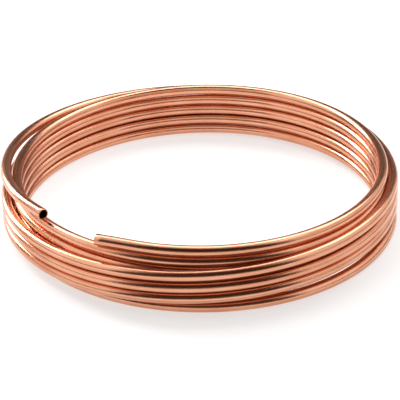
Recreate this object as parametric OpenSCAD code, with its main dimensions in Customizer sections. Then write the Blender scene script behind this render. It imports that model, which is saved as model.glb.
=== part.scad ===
// Coil of soft copper tube: one length, wound in two layers and left to lie on its own.
// The tube starts at the top of the inner layer, winds down to the floor, steps outwards there,
// and winds back up as the outer layer. Its last turn is slack: it stands off the back, rises
// across the left, and its end lies over the top of the inner layer.
//
// Z is the coil's axis and z = 0 is the floor. The turns run anticlockwise seen from above. Every
// half turn is a true arc in a plane that leans about the Y direction, so it leaves and arrives
// along Y, on the XZ plane, and shares its tangent and its end face with the next one there.

/* [Tube] */
// Outside diameter
tube_od = 10; // [6:0.5:16]
// Wall thickness
tube_wall = 0.7; // [0.5:0.1:1]

/* [Inner layer] */
// Radius of the inner layer, to the middle of the tube
inner_r = 172; // [140:1:260]
// Turns in the inner layer
inner_turns = 5; // [3:1:8]
// Gap between one turn and the next
inner_gap = 1.1; // [0.2:0.1:3]
// How far the first part turn sinks towards the one below
start_droop = 1.2; // [0:0.1:2]

/* [Outer layer] */
// Turns in the outer layer, below the slack turn
outer_turns = 4; // [2:1:6]
// Gap between one turn and the next
outer_gap = 0.5; // [0.2:0.1:3]
// Gap between the two layers
layer_gap = 0.2; // [0.2:0.2:3]
// Height gained across the back as the outer layer leaves the floor
floor_climb = 7; // [4:0.5:12]

/* [Slack turn] */
// Extra height gained on the way into the slack turn
slack_lift = 2; // [0:0.5:6]
// How far the slack turn stands off the back of the outer layer
slack_swing = 4.2; // [0:0.2:12]
// Gap under the end, where it lies over the inner layer
slack_gap = 0.5; // [0.3:0.1:6]

/* [Cut ends] */
// Length of straight tube where the coil starts, on the inner layer
start_length = 31; // [15:1:40]
// Length of straight tube where the coil ends, on the slack turn
end_length = 15; // [10:1:40]

/* [Hidden] */
$fn = 48;

tube_bore = tube_od - 2 * tube_wall;
outer_r = inner_r + tube_od + layer_gap;
step_r = (inner_r + outer_r) / 2;
back_r = outer_r + slack_swing;
left_r = outer_r - slack_swing;

// A plane's lean is [cosine, sine], rounded to a pair that still makes a true rotation. An arc's
// radius and its lean then give its exact rise, and how far in its ends stand.
function lean(r, rise) = let (c = round(sqrt(1 - pow(rise / 2 / r, 2)) * 1e6) / 1e6)
    [c, round(sqrt(1 - c * c) * 1e7) / 1e7];
function rise(r, lean) = 2 * r * lean[1];
function drawn_in(r, lean) = r * (1 - lean[0]);

inner_lean = lean(inner_r, (tube_od + inner_gap) / 2);
inner_rise = rise(inner_r, inner_lean);
start_lean = lean(inner_r, inner_rise - min(start_droop, inner_gap * 1.1));
start_rise = rise(inner_r, start_lean);
climb_lean = lean(outer_r, floor_climb);
climb_rise = rise(outer_r, climb_lean);
outer_lean = lean(outer_r, tube_od + outer_gap);
outer_rise = rise(outer_r, outer_lean);
last_lean = lean(outer_r, tube_od + outer_gap + slack_lift);
last_rise = rise(outer_r, last_lean);

// Heights of the middle of the tube on the left of the XZ plane. Row 0 lies on the floor.
floor_z = tube_od / 2;
function inner_left(row) = floor_z + 2 * row * inner_rise;
function outer_left(row) = floor_z + climb_rise + (row - 1) * outer_rise;
back_z = outer_left(outer_turns - 1) + last_rise;

// The slack turn clears the inner layer's top turn, or goes on rising if that is already lower
left_rise = max(inner_left(inner_turns - 1) - back_z + slack_gap, 0) + tube_od / 2;
left_lean = lean(left_r, 2 * left_rise);

// Middles of the arcs, moved a little along X so that their ends meet
start_x = drawn_in(inner_r, start_lean) - drawn_in(inner_r, inner_lean);
step_x = drawn_in(inner_r, inner_lean) + step_r - inner_r;
climb_x = step_x + step_r - outer_r + drawn_in(outer_r, climb_lean);
function level_x(row) = climb_x + drawn_in(outer_r, climb_lean)
    - 2 * (row - 1) * drawn_in(outer_r, outer_lean);
back_x = level_x(outer_turns - 1) - 2 * drawn_in(outer_r, last_lean) - back_r + outer_r;

// Bends that stop part of the way round turn through angles whose sines and cosines are short
// decimals, one or three times that of a 3-4-5 triangle, so that straight ends meet them exactly.
end_bend = asin(0.6);
start_from = acos(0.352);
start_bend = acos(0.936);

// Moves its children by hundredths first and then by the rest, to keep every digit
module place(at) {
    coarse = [for (a = at) round(a * 100) / 100];
    translate(coarse)
        translate(at - coarse)
            children();
}

module tube_section() {
    difference() {
        circle(d = tube_od);
        circle(d = tube_bore);
    }
}

// An arc of tube about the local Z axis, from one angle on by another
module arc(r, from, bend)
    rotate_extrude(angle = bend, start = from)
        translate([r, 0])
            tube_section();

// A straight piece of tube along the local Y direction, from an arc's end at angle 0
module straight(r, from, length)
    translate([r, from, 0])
        rotate([-90, 0, 0])
            linear_extrude(length)
                tube_section();

// A plane with its right side higher
module leaning_right(lean)
    multmatrix([[lean[0], 0, -lean[1], 0], [0, 1, 0, 0], [lean[1], 0, lean[0], 0]])
        children();

// A plane with its left side higher
module leaning_left(lean)
    multmatrix([[lean[0], 0, lean[1], 0], [0, 1, 0, 0], [-lean[1], 0, lean[0], 0]])
        children();

// A plane with its front higher
module leaning_front(lean)
    multmatrix([[1, 0, 0, 0], [0, lean[0], lean[1], 0], [0, -lean[1], lean[0], 0]])
        children();

// The first part of a turn, from the tube's cut end on the front left round to the right
module first_turn()
    place([start_x, 0, inner_left(inner_turns) - inner_rise + start_rise / 2])
        leaning_left(start_lean)
            rotate([0, 0, 180]) {
                arc(inner_r, 90, 90);
                arc(inner_r, start_from, start_bend);
                multmatrix([[0.352, -0.936, 0, 0], [0.936, 0.352, 0, 0], [0, 0, 1, 0]])
                    straight(inner_r, -start_length, start_length);
            }

module inner_layer() {
    for (row = [0:inner_turns - 1])
        place([0, 0, inner_left(row) + inner_rise / 2])
            leaning_right(inner_lean)
                arc(inner_r, 0, 180);
    for (row = [1:inner_turns - 1])
        place([0, 0, inner_left(row) - inner_rise / 2])
            leaning_left(inner_lean)
                arc(inner_r, 180, 180);
}

// On the floor, half a turn of the radius between the two layers leads from one to the other
module layer_step()
    place([step_x, 0, floor_z])
        arc(step_r, 180, 180);

// The outer layer leaves the floor across the back. After that its back halves lie level and its
// front halves climb, the last one a little more.
module outer_layer() {
    place([climb_x, 0, floor_z + climb_rise / 2])
        leaning_left(climb_lean)
            arc(outer_r, 0, 180);
    for (row = [1:outer_turns - 2]) {
        place([level_x(row) - drawn_in(outer_r, outer_lean), 0, outer_left(row) + outer_rise / 2])
            leaning_right(outer_lean)
                arc(outer_r, 180, 180);
        place([level_x(row + 1), 0, outer_left(row + 1)])
            arc(outer_r, 0, 180);
    }
    place([level_x(outer_turns - 1) - drawn_in(outer_r, last_lean), 0, back_z - last_rise / 2])
        leaning_right(last_lean)
            arc(outer_r, 180, 180);
}

// The slack turn lies level to the middle of the back, then rises across the left to the cut end.
module slack_turn() {
    place([back_x, 0, back_z])
        arc(back_r, 0, 90);
    place([back_x, back_r - left_r + drawn_in(left_r, left_lean), back_z + left_r * left_lean[1]])
        leaning_front(left_lean) {
            arc(left_r, 90, 90);
            arc(left_r, 180, end_bend);
            multmatrix([[-0.8, 0.6, 0, 0], [-0.6, -0.8, 0, 0], [0, 0, 1, 0]])
                straight(left_r, 0, end_length);
        }
}

module tube_coil()
    color("#c77f5c") {
        first_turn();
        inner_layer();
        layer_step();
        outer_layer();
        slack_turn();
    }

tube_coil();
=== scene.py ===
import math

import bmesh
import bpy
import numpy as np
from mathutils import Matrix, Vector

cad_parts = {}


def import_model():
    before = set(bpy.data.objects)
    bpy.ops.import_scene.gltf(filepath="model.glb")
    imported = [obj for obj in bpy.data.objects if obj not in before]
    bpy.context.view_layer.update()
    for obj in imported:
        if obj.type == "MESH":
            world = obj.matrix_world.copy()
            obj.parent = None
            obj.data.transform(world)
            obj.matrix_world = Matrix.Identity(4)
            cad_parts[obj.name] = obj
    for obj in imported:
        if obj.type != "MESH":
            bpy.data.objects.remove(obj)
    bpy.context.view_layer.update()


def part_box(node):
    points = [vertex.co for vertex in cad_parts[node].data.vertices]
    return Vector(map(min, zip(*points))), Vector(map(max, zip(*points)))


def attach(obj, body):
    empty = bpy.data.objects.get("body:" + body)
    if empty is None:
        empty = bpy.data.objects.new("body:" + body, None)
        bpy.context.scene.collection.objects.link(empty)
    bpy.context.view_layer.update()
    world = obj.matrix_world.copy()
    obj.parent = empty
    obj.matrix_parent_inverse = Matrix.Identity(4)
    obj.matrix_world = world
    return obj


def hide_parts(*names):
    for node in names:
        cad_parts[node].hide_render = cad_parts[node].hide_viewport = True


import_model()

# A coil of soft copper tube on a pale studio floor, in metres, in the part's own frame.
#
# The tube is swept along the same line of arcs as the part's solid: down the inner layer, out on
# the floor, up the outer layer and round the slack turn. The sweep gives it a smooth wall outside
# and in, open cut ends, and coordinates round and along the tube for the drawing marks.

NODE = "tube_coil"

# --- Sizes, in metres -------------------------------------------------------------------------
TUBE_R = 0.005
BORE_R = 0.0043
INNER_R = 0.172
INNER_TURNS = 5
INNER_PITCH = 0.0111
START_DROOP = 0.0012
OUTER_TURNS = 4
OUTER_PITCH = 0.0105
OUTER_R = INNER_R + 0.0102
FLOOR_CLIMB = 0.007
SLACK_LIFT = 0.002
SLACK_SWING = 0.0042
SLACK_GAP = 0.0005
START_LENGTH = 0.031
END_LENGTH = 0.015
START_AT = math.degrees(math.acos(0.352))
END_BEND = math.degrees(math.asin(0.6))

# --- Fineness of the sweep --------------------------------------------------------------------
STEP_DEG = 2.5          # one ring of the sweep for each this many degrees of a turn
START_RINGS = 6         # rings along the straight start
END_RINGS = 5           # rings along the straight end
OUTSIDE = 36            # points round the outside
INSIDE = 16             # points round the bore
LIP = 0.00035           # length of the rounding left by the cutter at each end
LIP_DEPTH = 0.55        # how far the rounding goes in, as a share of its length

UV_MAP = "round_and_along"
UV_LENGTH = 0.0314      # tube length for one unit of the map: about once round the tube
CUT_UV = ((0.1, 0.1), (0.2, 0.1), (0.2, 0.2))       # the cut faces have no marks along them

# --- Copper -----------------------------------------------------------------------------------
MARKS_ROUND = 6.5       # drawing marks: fine round the tube
MARKS_ALONG = 0.12      # and long along it
STAINS_PER_METRE = 26.0
SPECKS_PER_METRE = 420.0
REDDER = (0.78, 0.36, 0.215)
PALER = (0.90, 0.475, 0.315)
IN_A_MARK = (0.64, 0.55, 0.50)
CLEAR = (1, 1, 1)
MARKS_SHOW = 0.8        # how much of the marks' darkening is taken
GLOSSY, MATT = 0.17, 0.27
SPECKS_SHARE, MARKS_SHARE = 0.3, 0.7                # of what varies the gloss
MARKS_STRENGTH, MARKS_DEPTH = 0.28, 0.00012

# --- Studio -----------------------------------------------------------------------------------
FLOOR_SIZE = 9.0
FLOOR_DROP = 0.0002     # the floor lies this far under the coil
FLOOR_GREY = 0.50
FLOOR_GLOW = 0.60       # a little light of its own, as a light table has, keeps shadows pale
WARM_DIM, DIM_LEVEL = (1.0, 0.5, 0.3), 0.06

CAMERA_HEIGHT_DEG = 27.69
CAMERA_DISTANCE = 1.5
CAMERA_ROLL_DEG = -0.84
CAMERA_ROUND = 0.030    # height of the point that the camera is placed about
CAMERA_AIM = 0.0141     # and of the one that it looks at
SENSOR_MM, LENS_MM = 36.0, 142.0


# --- The line of the tube ---------------------------------------------------------------------
def half_turn(r, z_from, z_to, a_from, a_to):
    """Points of an arc in a plane that leans about Y, over all or part of a half turn.

    z_from and z_to are the heights where the whole half turn starts and ends.
    """
    back = (a_from + a_to) / 2 % 360 < 180
    s = (z_to - z_from) / 2 / r * (-1 if back else 1)
    c = math.sqrt(1 - s * s)
    n = max(2, int(round((a_to - a_from) / STEP_DEG)) + 1)
    a = np.radians(np.linspace(a_from, a_to, n))
    x, y = r * np.cos(a), r * np.sin(a)
    return np.stack([c * x, y, (z_from + z_to) / 2 + s * x], 1)


def unit(v):
    return v / np.linalg.norm(v)


def tube_line():
    """Every point of the middle of the tube, from the end on the inner layer to the other."""
    floor = TUBE_R
    top = floor + INNER_TURNS * INNER_PITCH

    # the straight start and the first turn, whose right end is brought onto the inner layer
    first = half_turn(INNER_R, top - START_DROOP, top - INNER_PITCH / 2, 180 + START_AT, 360)
    run = np.linspace(START_LENGTH, 0, START_RINGS)[:-1]
    first = np.concatenate([first[0] + run[:, None] * unit(first[0] - first[1]), first])
    lean = math.sqrt(1 - (INNER_PITCH / 4 / INNER_R) ** 2)
    first[:, 0] += lean * INNER_R - first[-1][0]
    parts = [first]

    def add(points):
        """Put the next stretch where the last one ended."""
        points[:, 0] += parts[-1][-1][0] - points[0][0]
        parts.append(points[1:])

    # the inner layer, down to the floor
    for row in range(INNER_TURNS - 1, -1, -1):
        left = floor + row * INNER_PITCH
        add(half_turn(INNER_R, left + INNER_PITCH / 2, left, 0, 180))
        if row:
            add(half_turn(INNER_R, left, left - INNER_PITCH / 2, 180, 360))

    # the step outwards on the floor, and the outer layer
    add(half_turn((INNER_R + OUTER_R) / 2, floor, floor, 180, 360))
    add(half_turn(OUTER_R, floor, floor + FLOOR_CLIMB, 0, 180))
    z = floor + FLOOR_CLIMB
    for row in range(1, OUTER_TURNS):
        last_row = row == OUTER_TURNS - 1
        rise = OUTER_PITCH + (SLACK_LIFT if last_row else 0.0)
        add(half_turn(OUTER_R, z, z + rise, 180, 360))
        z += rise
        if not last_row:
            add(half_turn(OUTER_R, z, z, 0, 180))

    # the slack turn: level to the middle of the back, then rising towards the front
    add(half_turn(OUTER_R + SLACK_SWING, z, z, 0, 90))
    r = OUTER_R - SLACK_SWING
    inner_left = floor + (INNER_TURNS - 1) * INNER_PITCH
    s = (max(inner_left - z + SLACK_GAP, 0) + TUBE_R) / r
    c = math.sqrt(1 - s * s)
    a = np.radians(np.linspace(90, 180 + END_BEND, int((90 + END_BEND) / STEP_DEG) + 1))
    down = r * np.sin(a) - r
    x, y, z = parts[-1][-1]
    bend = np.stack([x + r * np.cos(a), y + c * down, z - s * down], 1)
    parts.append(bend[1:])

    # the straight end
    tangent = np.array([-math.sin(a[-1]), c * math.cos(a[-1]), -s * math.cos(a[-1])])
    run = np.linspace(0, END_LENGTH, END_RINGS)[1:]
    parts.append(bend[-1] + run[:, None] * tangent)
    return np.concatenate(parts)


# --- The sweep --------------------------------------------------------------------------------
def cross_directions(points):
    """A sideways and an upward direction at each point, both square to the tube."""
    t = np.gradient(points, axis=0)
    t /= np.linalg.norm(t, axis=1)[:, None]
    side = np.cross(t, [0.0, 0.0, 1.0])
    side /= np.linalg.norm(side, axis=1)[:, None]
    return side, np.cross(side, t)


def sweep(points):
    """The tube's wall along points, outside and in, with its ends slightly rounded."""
    head = points[0] + unit(points[1] - points[0]) * LIP
    tail = points[-1] + unit(points[-2] - points[-1]) * LIP
    p = np.concatenate([points[:1], [head], points[1:-1], [tail], points[-1:]])
    side, up = cross_directions(p)
    for direction in (side, up):
        direction[1] = direction[0]
        direction[-2] = direction[-1]
    steps = np.linalg.norm(np.diff(p, axis=0), axis=1)
    along = np.concatenate([[0.0], np.cumsum(steps)]) / UV_LENGTH

    def rings(radius, count):
        a = np.linspace(0, 2 * math.pi, count, endpoint=False)
        ring = (np.cos(a)[None, :, None] * side[:, None, :]
                + np.sin(a)[None, :, None] * up[:, None, :])
        return (p[:, None, :] + radius[:, None, None] * ring).reshape(-1, 3)

    outer = np.full(len(p), TUBE_R)
    outer[[0, -1]] = TUBE_R - LIP * LIP_DEPTH
    verts = np.concatenate([rings(outer, OUTSIDE), rings(np.full(len(p), BORE_R), INSIDE)])

    faces, uvs = [], []
    for start, count, inward in ((0, OUTSIDE, False), (len(p) * OUTSIDE, INSIDE, True)):
        for i in range(len(p) - 1):
            for j in range(count):
                corners = [(i, j), (i, j + 1), (i + 1, j + 1), (i + 1, j)]
                if inward:
                    corners = corners[:1] + corners[:0:-1]
                faces.append(tuple(start + row * count + k % count for row, k in corners))
                uvs.append(tuple((k / count, along[row]) for row, k in corners))
    return verts, faces, uvs, len(p)


def close_end(faces, uvs, outside, bore, flip):
    """The cut face between a ring of the outside and a ring of the bore, as triangles."""
    m, k = len(outside), len(bore)
    i = j = 0
    while i < m or j < k:
        a, b = outside[i % m], bore[j % k]
        if j >= k or (i < m and (i + 1) / m <= (j + 1) / k):
            i += 1
            triangle = (a, b, outside[i % m])
        else:
            j += 1
            triangle = (a, b, bore[j % k])
        faces.append(triangle[::-1] if flip else triangle)
        uvs.append(CUT_UV)


def build_tube():
    """The tube's mesh, swept along its line and put where the part's solid is."""
    verts, faces, uvs, rings = sweep(tube_line())
    wall_faces = len(faces)
    for ring, flip in ((0, False), (rings - 1, True)):
        outside = [ring * OUTSIDE + j for j in range(OUTSIDE)]
        bore = [rings * OUTSIDE + ring * INSIDE + j for j in range(INSIDE)]
        close_end(faces, uvs, outside, bore, flip)

    low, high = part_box(NODE)
    verts += (np.array(low) + np.array(high)) / 2 - (verts.min(0) + verts.max(0)) / 2

    mesh = bpy.data.meshes.new("copper_tube")
    mesh.from_pydata(verts.tolist(), [], faces)
    layer = mesh.uv_layers.new(name=UV_MAP)
    layer.data.foreach_set("uv", np.array([c for f in uvs for c in f], np.float32).ravel())
    mesh.validate()
    work = bmesh.new()
    work.from_mesh(mesh)
    bmesh.ops.recalc_face_normals(work, faces=work.faces)
    work.to_mesh(mesh)
    work.free()
    mesh.update()
    for i, poly in enumerate(mesh.polygons):
        poly.use_smooth = i < wall_faces
    obj = bpy.data.objects.new("copper_tube", mesh)
    bpy.context.scene.collection.objects.link(obj)
    return obj


# --- Material nodes ---------------------------------------------------------------------------
def node(tree, kind, at, **settings):
    item = tree.nodes.new(kind)
    item.location = at
    for key, value in settings.items():
        setattr(item, key, value)
    return item


def maths(tree, at, operation, value, by=None):
    """A Math node on value, with by as its second input: a number or another node's output."""
    item = node(tree, "ShaderNodeMath", at, operation=operation)
    tree.links.new(value, item.inputs[0])
    if isinstance(by, bpy.types.NodeSocket):
        tree.links.new(by, item.inputs[1])
    elif by is not None:
        item.inputs[1].default_value = by
    return item.outputs[0]


def noise(tree, at, where, scale, detail, roughness=0.5):
    item = node(tree, "ShaderNodeTexNoise", at)
    item.inputs["Scale"].default_value = scale
    item.inputs["Detail"].default_value = detail
    item.inputs["Roughness"].default_value = roughness
    tree.links.new(where, item.inputs["Vector"])
    return item.outputs["Fac"]


def ramp(tree, at, value, *stops):
    """A colour ramp through two stops, each a position and a colour."""
    item = node(tree, "ShaderNodeValToRGB", at)
    for element, (position, colour) in zip(list(item.color_ramp.elements), stops):
        element.position = position
        element.color = (*colour, 1)
    tree.links.new(value, item.inputs["Fac"])
    return item.outputs["Color"]


def copper():
    """Drawn copper: fine marks along the tube, faint stains, and handling that varies the gloss."""
    mat = bpy.data.materials.new("drawn_copper")
    mat.use_nodes = True
    tree = mat.node_tree
    tree.nodes.clear()
    link = tree.links.new
    out = node(tree, "ShaderNodeOutputMaterial", (900, 0))
    shader = node(tree, "ShaderNodeBsdfPrincipled", (600, 0))
    link(shader.outputs["BSDF"], out.inputs["Surface"])
    shader.inputs["Metallic"].default_value = 1.0

    # drawing marks, which meet themselves all the way round because they lie on a circle
    uv = node(tree, "ShaderNodeUVMap", (-1400, 0), uv_map=UV_MAP)
    parts = node(tree, "ShaderNodeSeparateXYZ", (-1250, 0))
    link(uv.outputs["UV"], parts.inputs["Vector"])
    angle = maths(tree, (-1100, 100), "MULTIPLY", parts.outputs["X"], 2 * math.pi)
    on_circle = node(tree, "ShaderNodeCombineXYZ", (-800, 0))
    for axis, wave in (("X", "COSINE"), ("Y", "SINE")):
        turned = maths(tree, (-1000, 100), wave, angle)
        wide = maths(tree, (-900, 100), "MULTIPLY", turned, MARKS_ROUND)
        link(wide, on_circle.inputs[axis])
    link(maths(tree, (-900, -100), "MULTIPLY", parts.outputs["Y"], MARKS_ALONG),
         on_circle.inputs["Z"])
    marks = noise(tree, (-700, 0), on_circle.outputs["Vector"], 1.0, 3.5, 0.55)

    # uneven tarnish, a few centimetres across, and fine specks, in the object's own space
    place = node(tree, "ShaderNodeTexCoord", (-1400, -400)).outputs["Object"]
    stains = noise(tree, (-1000, -300), place, STAINS_PER_METRE, 3.0)
    specks = noise(tree, (-1000, -600), place, SPECKS_PER_METRE, 2.0)

    tone = ramp(tree, (-700, -200), stains, (0.30, REDDER), (0.72, PALER))
    streak = ramp(tree, (-700, 100), marks, (0.34, IN_A_MARK), (0.62, CLEAR))
    mix = node(tree, "ShaderNodeMixRGB", (-400, 0), blend_type="MULTIPLY")
    mix.inputs["Fac"].default_value = MARKS_SHOW
    link(tone, mix.inputs["Color1"])
    link(streak, mix.inputs["Color2"])
    link(mix.outputs["Color"], shader.inputs["Base Color"])

    uneven = maths(tree, (-600, -420), "ADD",
                   maths(tree, (-780, -520), "MULTIPLY", specks, SPECKS_SHARE),
                   maths(tree, (-780, -400), "MULTIPLY", marks, MARKS_SHARE))
    gloss = node(tree, "ShaderNodeMapRange", (-400, -300))
    gloss.inputs["From Min"].default_value = 0.3
    gloss.inputs["From Max"].default_value = 0.7
    gloss.inputs["To Min"].default_value = GLOSSY
    gloss.inputs["To Max"].default_value = MATT
    link(uneven, gloss.inputs["Value"])
    link(gloss.outputs["Result"], shader.inputs["Roughness"])

    bump = node(tree, "ShaderNodeBump", (300, -400))
    bump.inputs["Strength"].default_value = MARKS_STRENGTH
    bump.inputs["Distance"].default_value = MARKS_DEPTH
    link(marks, bump.inputs["Height"])
    link(bump.outputs["Normal"], shader.inputs["Normal"])
    return mat


# --- Floor, light and camera ------------------------------------------------------------------
def pale_floor():
    """A matte pale surface, lit a little from within as a light table is."""
    mat = bpy.data.materials.new("pale_floor")
    mat.use_nodes = True
    shader = mat.node_tree.nodes["Principled BSDF"]
    shader.inputs["Base Color"].default_value = (FLOOR_GREY, FLOOR_GREY, FLOOR_GREY, 1)
    shader.inputs["Roughness"].default_value = 0.9
    shader.inputs["Specular IOR Level"].default_value = 0.1
    shader.inputs["Emission Color"].default_value = (1, 1, 1, 1)
    shader.inputs["Emission Strength"].default_value = FLOOR_GLOW
    return mat


def floor():
    mesh = bpy.data.meshes.new("floor")
    h = FLOOR_SIZE / 2
    mesh.from_pydata([(-h, -h, 0), (h, -h, 0), (h, h, 0), (-h, h, 0)], [], [(0, 1, 2, 3)])
    mesh.materials.append(pale_floor())
    obj = bpy.data.objects.new("floor", mesh)
    obj.location.z = -FLOOR_DROP
    bpy.context.scene.collection.objects.link(obj)


def placed(obj, at, x, y, z):
    """Put obj into the scene at a point, with its own axes along x, y and z."""
    obj.matrix_world = Matrix([[x[i], y[i], z[i], at[i]] for i in range(3)] + [[0, 0, 0, 1]])
    bpy.context.scene.collection.objects.link(obj)


def softbox(name, at, aim, size, glow):
    """A rectangle of light; glow is how bright its face looks in a reflection."""
    light = bpy.data.lights.new(name, "AREA")
    light.shape = "RECTANGLE"
    light.size, light.size_y = size
    light.energy = glow * math.pi * size[0] * size[1]
    obj = bpy.data.objects.new(name, light)
    obj.visible_camera = False
    z = unit(np.array(at, float) - np.array(aim, float))
    x = unit(np.cross([0.0, 0.0, 1.0], z))
    placed(obj, at, x, np.cross(z, x), z)


def world():
    studio = bpy.data.worlds.new("studio")
    bpy.context.scene.world = studio
    studio.use_nodes = True
    background = studio.node_tree.nodes["Background"]
    background.inputs["Color"].default_value = (*WARM_DIM, 1)
    background.inputs["Strength"].default_value = DIM_LEVEL


def camera():
    """Seen from a little above the front, 1.5 m away, through a long lens."""
    elevation, roll = math.radians(CAMERA_HEIGHT_DEG), math.radians(CAMERA_ROLL_DEG)
    inwards = np.array([0.0, math.cos(elevation), -math.sin(elevation)])
    at = np.array([0.0, 0.0, CAMERA_ROUND]) - CAMERA_DISTANCE * inwards
    look = unit(np.array([0.0, 0.0, CAMERA_AIM]) - at)
    right = np.array([1.0, 0.0, 0.0])
    up = np.cross(right, look)
    right, up = (right * math.cos(roll) + up * math.sin(roll),
                 up * math.cos(roll) - right * math.sin(roll))
    data = bpy.data.cameras.new("camera")
    data.sensor_width = SENSOR_MM
    data.lens = LENS_MM
    data.clip_start, data.clip_end = 0.05, 60.0
    obj = bpy.data.objects.new("camera", data)
    placed(obj, at, right, up, -look)
    bpy.context.scene.camera = obj


camera()
tube = build_tube()
tube.data.materials.append(copper())
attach(tube, "root")
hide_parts(NODE)

floor()
# a wide box overhead and a little behind, walls of soft light on both sides, a narrow bright one
# at the back left, faint ones low in front and behind, and a panel over the ring for the back rows
softbox("top", (0.0, 0.82, 1.5), (0.0, 0.0, 0.0), (2.6, 0.92), 3.5)
softbox("left", (-1.7, -0.45, 1.75), (0.0, -0.45, 1.75), (2.0, 3.0), 1.1)
softbox("back_left", (-1.46, 1.21, 0.95), (0.0, 0.0, 0.05), (0.60, 1.6), 11.0)
softbox("right", (1.7, 0.30, 1.75), (0.0, 0.30, 1.75), (3.3, 3.0), 1.0)
softbox("front", (0.1, -2.5, 0.28), (0.1, 0.0, 0.28), (2.2, 0.5), 0.25)
softbox("back", (0.0, 3.2, 0.75), (0.0, 0.0, 0.75), (7.0, 1.4), 0.15)
softbox("over_ring", (0.0, -0.10, 0.30), (0.0, 0.23, 0.06), (0.42, 0.30), 0.85)
world()
bpy.context.scene.view_settings.view_transform = "Standard"

bpy.context.view_layer.update()
